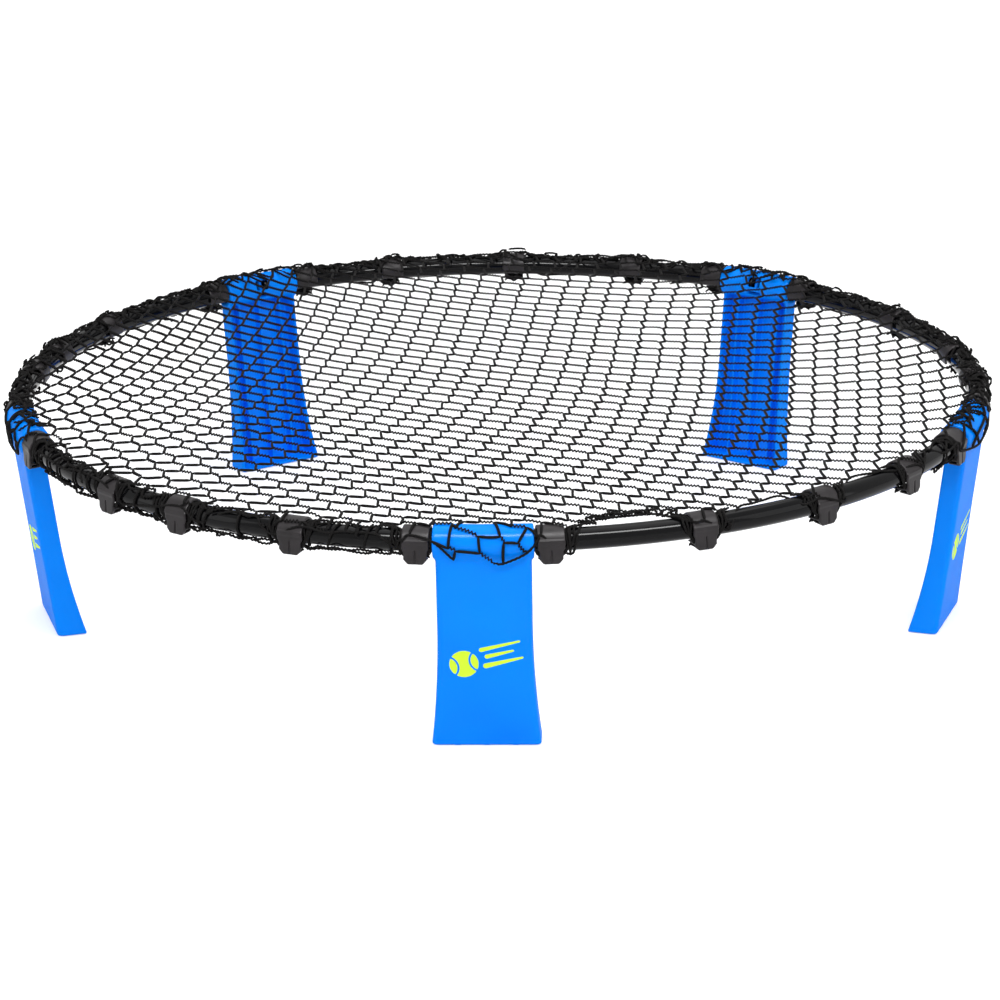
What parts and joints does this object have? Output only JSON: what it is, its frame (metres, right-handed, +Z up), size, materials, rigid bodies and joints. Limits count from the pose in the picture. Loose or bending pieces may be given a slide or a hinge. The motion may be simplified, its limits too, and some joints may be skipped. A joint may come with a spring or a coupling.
{
  "type": "roundnet set",
  "caption": "Low round net stretched over a ring of tubes on legs, with push-on clips that hook its edge below the ring. The net gives and springs back, and the clips tilt round the tubes.",
  "frame": {"origin": "on the ground under the middle of the ring", "axes": "+Z up; -Y towards the front leg, +X to its right"},
  "size_m": [0.9048, 0.907, 0.1962],
  "materials": {
    "rim_tube": "smooth gloss black coating",
    "leg": "moulded azure blue, semi-gloss, with a lime green printed mark",
    "net_clip": "moulded satin charcoal",
    "net": "black braided cord, knotless open mesh"
  },
  "bodies": {
    "ring": {"rim_tube_front_right": "rim_tube", "rim_tube_right": "rim_tube", "rim_tube_back": "rim_tube", "rim_tube_left": "rim_tube", "rim_tube_front_left": "rim_tube", "leg_front": "leg", "leg_right": "leg", "leg_back_right": "leg", "leg_back_left": "leg", "leg_left": "leg"},
    "net": {"net": "net"},
    "net_clip_front_right_1": {"net_clip_front_right_1": "net_clip"},
    "net_clip_front_right_2": {"net_clip_front_right_2": "net_clip"},
    "net_clip_front_right_3": {"net_clip_front_right_3": "net_clip"},
    "net_clip_front_right_4": {"net_clip_front_right_4": "net_clip"},
    "net_clip_front_right_5": {"net_clip_front_right_5": "net_clip"},
    "net_clip_right_1": {"net_clip_right_1": "net_clip"},
    "net_clip_right_2": {"net_clip_right_2": "net_clip"},
    "net_clip_right_3": {"net_clip_right_3": "net_clip"},
    "net_clip_right_4": {"net_clip_right_4": "net_clip"},
    "net_clip_right_5": {"net_clip_right_5": "net_clip"},
    "net_clip_back_1": {"net_clip_back_1": "net_clip"},
    "net_clip_back_2": {"net_clip_back_2": "net_clip"},
    "net_clip_back_3": {"net_clip_back_3": "net_clip"},
    "net_clip_back_4": {"net_clip_back_4": "net_clip"},
    "net_clip_back_5": {"net_clip_back_5": "net_clip"},
    "net_clip_left_1": {"net_clip_left_1": "net_clip"},
    "net_clip_left_2": {"net_clip_left_2": "net_clip"},
    "net_clip_left_3": {"net_clip_left_3": "net_clip"},
    "net_clip_left_4": {"net_clip_left_4": "net_clip"},
    "net_clip_left_5": {"net_clip_left_5": "net_clip"},
    "net_clip_front_left_1": {"net_clip_front_left_1": "net_clip"},
    "net_clip_front_left_2": {"net_clip_front_left_2": "net_clip"},
    "net_clip_front_left_3": {"net_clip_front_left_3": "net_clip"},
    "net_clip_front_left_4": {"net_clip_front_left_4": "net_clip"},
    "net_clip_front_left_5": {"net_clip_front_left_5": "net_clip"}
  },
  "joints": [
    {"name": "net_bounce", "type": "slide", "parent": "ring", "child": "net", "axis": [0, 0, -1], "range_m": [0, 0.035], "stiffness_N_per_m": 2000, "springref_m": -0.002},
    {"name": "net_clip_front_right_1_tilt", "type": "hinge", "parent": "ring", "child": "net_clip_front_right_1", "pos_m": [0.05362, -0.43672, 0.1825], "axis": [-0.9925, -0.1219, 0], "range_deg": [-15, 25]},
    {"name": "net_clip_front_right_2_tilt", "type": "hinge", "parent": "ring", "child": "net_clip_front_right_2", "pos_m": [0.17545, -0.40351, 0.1825], "axis": [-0.9171, -0.3987, 0], "range_deg": [-15, 25]},
    {"name": "net_clip_front_right_3_tilt", "type": "hinge", "parent": "ring", "child": "net_clip_front_right_3", "pos_m": [0.27571, -0.34291, 0.1825], "axis": [-0.7793, -0.6266, 0], "range_deg": [-15, 25]},
    {"name": "net_clip_front_right_4_tilt", "type": "hinge", "parent": "ring", "child": "net_clip_front_right_4", "pos_m": [0.3514, -0.2648, 0.1825], "axis": [-0.6018, -0.7986, 0], "range_deg": [-15, 25]},
    {"name": "net_clip_front_right_5_tilt", "type": "hinge", "parent": "ring", "child": "net_clip_front_right_5", "pos_m": [0.39877, -0.18595, 0.1825], "axis": [-0.4226, -0.9063, 0], "range_deg": [-15, 25]},
    {"name": "net_clip_right_1_tilt", "type": "hinge", "parent": "ring", "child": "net_clip_right_1", "pos_m": [0.43192, -0.08396, 0.1825], "axis": [-0.1908, -0.9816, 0], "range_deg": [-15, 25]},
    {"name": "net_clip_right_2_tilt", "type": "hinge", "parent": "ring", "child": "net_clip_right_2", "pos_m": [0.43993, 0.00768, 0.1825], "axis": [0.0175, -0.9998, 0], "range_deg": [-15, 25]},
    {"name": "net_clip_right_3_tilt", "type": "hinge", "parent": "ring", "child": "net_clip_right_3", "pos_m": [0.43039, 0.09148, 0.1825], "axis": [0.2079, -0.9781, 0], "range_deg": [-15, 25]},
    {"name": "net_clip_right_4_tilt", "type": "hinge", "parent": "ring", "child": "net_clip_right_4", "pos_m": [0.38483, 0.21332, 0.1825], "axis": [0.4848, -0.8746, 0], "range_deg": [-15, 25]},
    {"name": "net_clip_right_5_tilt", "type": "hinge", "parent": "ring", "child": "net_clip_right_5", "pos_m": [0.30008, 0.3218, 0.1825], "axis": [0.7314, -0.682, 0], "range_deg": [-15, 25]},
    {"name": "net_clip_back_1_tilt", "type": "hinge", "parent": "ring", "child": "net_clip_back_1", "pos_m": [0.21332, 0.38483, 0.1825], "axis": [0.8746, -0.4848, 0], "range_deg": [-15, 25]},
    {"name": "net_clip_back_2_tilt", "type": "hinge", "parent": "ring", "child": "net_clip_back_2", "pos_m": [0.12864, 0.42077, 0.1825], "axis": [0.9563, -0.2924, 0], "range_deg": [-15, 25]},
    {"name": "net_clip_back_3_tilt", "type": "hinge", "parent": "ring", "child": "net_clip_back_3", "pos_m": [0.00384, 0.43998, 0.1825], "axis": [1, -0.0087, 0], "range_deg": [-15, 25]},
    {"name": "net_clip_back_4_tilt", "type": "hinge", "parent": "ring", "child": "net_clip_back_4", "pos_m": [-0.12497, 0.42188, 0.1825], "axis": [0.9588, 0.284, 0], "range_deg": [-15, 25]},
    {"name": "net_clip_back_5_tilt", "type": "hinge", "parent": "ring", "child": "net_clip_back_5", "pos_m": [-0.21332, 0.38483, 0.1825], "axis": [0.8746, 0.4848, 0], "range_deg": [-15, 25]},
    {"name": "net_clip_left_1_tilt", "type": "hinge", "parent": "ring", "child": "net_clip_left_1", "pos_m": [-0.30008, 0.3218, 0.1825], "axis": [0.7314, 0.682, 0], "range_deg": [-15, 25]},
    {"name": "net_clip_left_2_tilt", "type": "hinge", "parent": "ring", "child": "net_clip_left_2", "pos_m": [-0.39204, 0.19976, 0.1825], "axis": [0.454, 0.891, 0], "range_deg": [-15, 25]},
    {"name": "net_clip_left_3_tilt", "type": "hinge", "parent": "ring", "child": "net_clip_left_3", "pos_m": [-0.42693, 0.10645, 0.1825], "axis": [0.2419, 0.9703, 0], "range_deg": [-15, 25]},
    {"name": "net_clip_left_4_tilt", "type": "hinge", "parent": "ring", "child": "net_clip_left_4", "pos_m": [-0.43833, 0.03835, 0.1825], "axis": [0.0872, 0.9962, 0], "range_deg": [-15, 25]},
    {"name": "net_clip_left_5_tilt", "type": "hinge", "parent": "ring", "child": "net_clip_left_5", "pos_m": [-0.43192, -0.08396, 0.1825], "axis": [-0.1908, 0.9816, 0], "range_deg": [-15, 25]},
    {"name": "net_clip_front_left_1_tilt", "type": "hinge", "parent": "ring", "child": "net_clip_front_left_1", "pos_m": [-0.39877, -0.18595, 0.1825], "axis": [-0.4226, 0.9063, 0], "range_deg": [-15, 25]},
    {"name": "net_clip_front_left_2_tilt", "type": "hinge", "parent": "ring", "child": "net_clip_front_left_2", "pos_m": [-0.31383, -0.3084, 0.1825], "axis": [-0.7009, 0.7133, 0], "range_deg": [-15, 25]},
    {"name": "net_clip_front_left_3_tilt", "type": "hinge", "parent": "ring", "child": "net_clip_front_left_3", "pos_m": [-0.25048, -0.36174, 0.1825], "axis": [-0.8221, 0.5693, 0], "range_deg": [-15, 25]},
    {"name": "net_clip_front_left_4_tilt", "type": "hinge", "parent": "ring", "child": "net_clip_front_left_4", "pos_m": [-0.15409, -0.41214, 0.1825], "axis": [-0.9367, 0.3502, 0], "range_deg": [-15, 25]},
    {"name": "net_clip_front_left_5_tilt", "type": "hinge", "parent": "ring", "child": "net_clip_front_left_5", "pos_m": [-0.05362, -0.43672, 0.1825], "axis": [-0.9925, 0.1219, 0], "range_deg": [-15, 25]}
  ]
}
